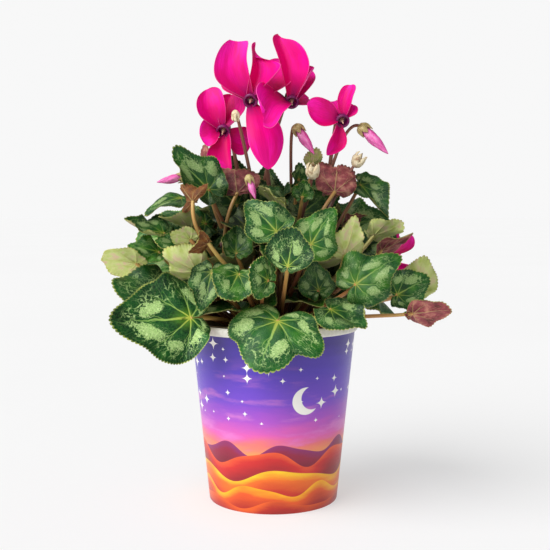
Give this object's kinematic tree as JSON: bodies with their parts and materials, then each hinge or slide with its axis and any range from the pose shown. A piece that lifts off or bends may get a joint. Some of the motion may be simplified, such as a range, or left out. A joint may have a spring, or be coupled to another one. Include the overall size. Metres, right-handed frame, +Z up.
{
  "type": "potted cyclamen",
  "caption": "Flowering cyclamen with patterned heart-shaped leaves, standing in its nursery pot inside a printed card cup; a decorative house plant.",
  "frame": {"origin": "middle of the cup's flat base, on the surface it stands on", "axes": "+Z up along the axis of the cup; the side shown in the picture faces -Y"},
  "size_m": [0.2386, 0.1787, 0.3312],
  "materials": {
    "printed_card": "gloss",
    "pot_plastic": "matte",
    "peat": "rough",
    "tuber_bark": "rough",
    "leaf_green": "satin",
    "leaf_pale": "satin",
    "leaf_purple": "satin",
    "petal_magenta": "satin",
    "bud_pink": "satin",
    "stalk_brown": "satin",
    "husk_cream": "matte"
  },
  "bodies": {
    "root": {"bud_1": "bud_pink", "bud_2": "bud_pink", "bud_3": "bud_pink", "bud_4": "bud_pink", "cup": "printed_card", "flower_1_petals": "petal_magenta", "flower_1_stalk": "stalk_brown", "flower_2_petals": "petal_magenta", "flower_2_stalk": "stalk_brown", "flower_3_petals": "petal_magenta", "flower_3_stalk": "stalk_brown", "flower_4_petals": "petal_magenta", "flower_4_stalk": "stalk_brown", "flower_5_petals": "petal_magenta", "flower_5_stalk": "stalk_brown", "leaf_01": "leaf_green", "leaf_02": "leaf_green", "leaf_03": "leaf_green", "leaf_04": "leaf_pale", "leaf_05": "leaf_pale", "leaf_06": "leaf_pale", "leaf_07": "leaf_green", "leaf_08": "leaf_green", "leaf_09": "leaf_green", "leaf_10": "leaf_green", "leaf_11": "leaf_purple", "leaf_12": "leaf_purple", "leaf_13": "leaf_purple", "leaf_15": "leaf_purple", "leaf_16": "leaf_green", "leaf_17": "leaf_green", "leaf_18": "leaf_green", "leaf_19": "leaf_green", "leaf_20": "leaf_green", "leaf_21": "leaf_green", "leaf_22": "leaf_green", "leaf_23": "leaf_green", "leaf_24": "leaf_green", "leaf_25": "leaf_green", "leaf_26": "leaf_pale", "leaf_27": "leaf_purple", "leaf_28": "leaf_green", "leaf_29": "leaf_purple", "leaf_30": "leaf_pale", "leaf_31": "leaf_purple", "leaf_32": "leaf_purple", "leaf_33": "leaf_green", "leaf_34": "leaf_green", "leaf_back_1": "leaf_green", "leaf_back_2": "leaf_green", "leaf_back_3": "leaf_green", "leaf_back_4": "leaf_green", "leaf_back_5": "leaf_green", "nursery_pot": "pot_plastic", "soil": "peat", "spent_1": "husk_cream", "spent_2": "husk_cream", "spent_3": "husk_cream", "tuber": "tuber_bark"}
  },
  "joints": []
}
